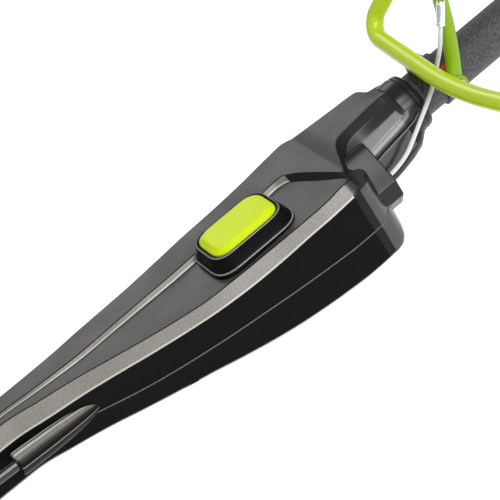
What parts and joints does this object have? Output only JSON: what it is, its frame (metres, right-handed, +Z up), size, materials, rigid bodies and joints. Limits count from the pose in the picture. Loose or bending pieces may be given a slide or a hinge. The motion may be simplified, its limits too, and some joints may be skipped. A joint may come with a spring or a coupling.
{
  "type": "string trimmer",
  "caption": "Cordless string trimmer with a tapered power handle, shaft tube, loop handle, tilting motor head, guard and bump-feed spool.",
  "frame": {"origin": "middle of the footprint, on the floor the trimmer lies on", "axes": "+X along the shaft tube towards the motor head, +Z up, -Y the side of the control cable"},
  "size_m": [1.64, 0.2952, 0.1791],
  "materials": {
    "black_shell": "satin moulded",
    "bezel_black": "gloss",
    "lime_plastic": "gloss",
    "lime_coat": "gloss paint",
    "red_plastic": "gloss",
    "rubber": "matt",
    "steel": "satin",
    "spring_steel": "satin",
    "black_rod": "gloss black",
    "tube_coat": "coarse textured powder coat",
    "board": "solder mask",
    "aluminium": "machined",
    "copper": "enamelled wire and laminations",
    "cable_sleeve": "clear coat over braid",
    "lead_sleeve": "matt",
    "battery_shell": "matt",
    "cell_wrap": "film",
    "nylon_line": "gloss"
  },
  "bodies": {
    "handle": {"upper_shell": "black_shell", "lower_shell": "black_shell", "shell_screws": "steel", "button_bezel": "bezel_black", "button_spring": "spring_steel", "button_switch": "bezel_black", "controller_board": "board", "heat_sink": "aluminium", "capacitor": "aluminium", "front_collar": "black_shell", "cable_gland": "rubber", "grip_sleeve": "rubber", "hand_guard": "black_rod", "trigger_pin": "steel", "trigger_spring": "spring_steel", "trigger_switch": "bezel_black", "lock_off_spring": "spring_steel", "terminal_block": "bezel_black", "shaft_tube": "tube_coat", "motor_lead": "lead_sleeve", "loop_handle": "lime_coat", "tube_clamp": "black_shell", "clamp_bolt": "steel", "red_cap": "red_plastic", "lever_pin": "steel", "control_cable": "cable_sleeve", "strap_hanger": "black_rod", "head_neck": "black_shell", "pivot_pin": "steel"},
    "power_button": {"power_button": "lime_plastic"},
    "trigger": {"trigger": "bezel_black"},
    "lock_off": {"lock_off_button": "lime_plastic"},
    "battery": {"battery_case": "battery_shell", "battery_cells": "cell_wrap", "latch_springs": "spring_steel"},
    "battery_latch": {"battery_latch": "lime_plastic"},
    "clamp_knob": {"clamp_knob": "bezel_black"},
    "control_lever": {"control_lever": "lime_coat", "cable_ferrule": "steel"},
    "motor_head": {"head_upper": "black_shell", "head_lower": "black_shell", "stator": "copper", "bearings": "steel", "guard": "black_shell", "guard_screws": "steel", "line_cutter": "steel"},
    "tilt_button": {"tilt_button": "lime_plastic"},
    "spool": {"rotor": "steel", "motor_shaft": "steel", "spool_housing": "bezel_black", "line_reel": "bezel_black", "wound_line": "nylon_line", "trimmer_line": "nylon_line", "spool_cover": "bezel_black", "bump_spring": "spring_steel"},
    "bump_knob": {"bump_knob": "lime_plastic"},
    "edge_guide": {"edge_guide": "black_rod"}
  },
  "joints": [
    {"name": "power_button_press", "type": "slide", "parent": "handle", "child": "power_button", "axis": [0, 0, -1], "range_m": [0, 0.0025], "stiffness_N_per_m": 900, "deforming": ["button_spring"]},
    {"name": "trigger_pull", "type": "hinge", "parent": "handle", "child": "trigger", "pos_m": [-0.546, 0, 0.069], "axis": [0, 1, 0], "range_deg": [0, 12], "stiffness_Nm_per_rad": 0.6, "deforming": ["trigger_spring"]},
    {"name": "lock_off_press", "type": "slide", "parent": "handle", "child": "lock_off", "axis": [0, 0, -1], "range_m": [0, 0.0025], "stiffness_N_per_m": 700, "deforming": ["lock_off_spring"]},
    {"name": "battery_slide", "type": "slide", "parent": "handle", "child": "battery", "axis": [-1, 0, 0], "range_m": [0, 0.09]},
    {"name": "battery_latch_press", "type": "slide", "parent": "battery", "child": "battery_latch", "axis": [1, 0, 0], "range_m": [0, 0.002], "stiffness_N_per_m": 900, "deforming": ["latch_springs"]},
    {"name": "clamp_knob_turn", "type": "hinge", "parent": "handle", "child": "clamp_knob", "pos_m": [-0.2225, 0.01824, 0.0657], "axis": [0, 0.5592, 0.829], "continuous": true},
    {"name": "control_lever_pull", "type": "hinge", "parent": "handle", "child": "control_lever", "pos_m": [-0.2236, -0.023, 0.0837], "axis": [0, 1, 0], "range_deg": [0, 10], "stiffness_Nm_per_rad": 1.2, "deforming": ["control_cable"]},
    {"name": "head_tilt", "type": "hinge", "parent": "handle", "child": "motor_head", "pos_m": [0.595, 0, 0.078], "axis": [0, -1, 0], "range_deg": [0, 60]},
    {"name": "tilt_button_press", "type": "slide", "parent": "motor_head", "child": "tilt_button", "axis": [0, 1, 0], "range_m": [0, 0.0025], "stiffness_N_per_m": 900},
    {"name": "spool_spin", "type": "hinge", "parent": "motor_head", "child": "spool", "pos_m": [0.665, 0, 0.024], "axis": [0, 0, 1], "continuous": true},
    {"name": "bump_knob_press", "type": "slide", "parent": "spool", "child": "bump_knob", "axis": [0, 0, 1], "range_m": [0, 0.0045], "stiffness_N_per_m": 2500, "deforming": ["bump_spring"]},
    {"name": "edge_guide_flip", "type": "hinge", "parent": "motor_head", "child": "edge_guide", "pos_m": [0.665, 0, 0.056], "axis": [0, -1, 0], "range_deg": [0, 100]}
  ]
}
